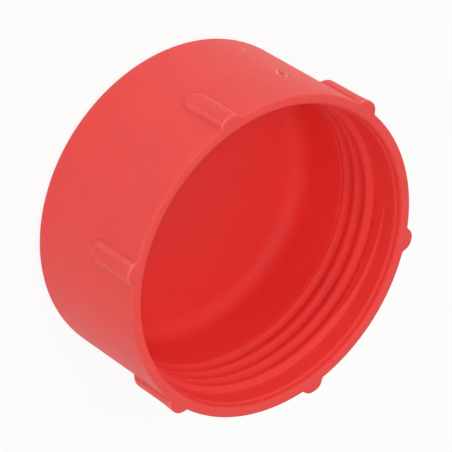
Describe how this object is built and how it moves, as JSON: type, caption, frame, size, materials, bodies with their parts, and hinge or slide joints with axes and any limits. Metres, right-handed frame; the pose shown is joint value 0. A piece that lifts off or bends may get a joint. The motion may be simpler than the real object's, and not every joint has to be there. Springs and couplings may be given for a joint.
{
  "type": "threaded protection cap",
  "caption": "Round push-and-turn protection cap with a closed end, an internal helical thread behind a plain entry bore, and short round-backed grip lugs around its mouth.",
  "frame": {"origin": "centre of the closed end's flat outer face", "axes": "+Z along the cap's axis, out of its mouth; +X through the middle of one grip lug; +Y completes it"},
  "size_m": [0.0478, 0.0456, 0.0217],
  "materials": {
    "cap": "satin moulded"
  },
  "bodies": {
    "root": {"protection_cap": "cap"}
  },
  "joints": []
}
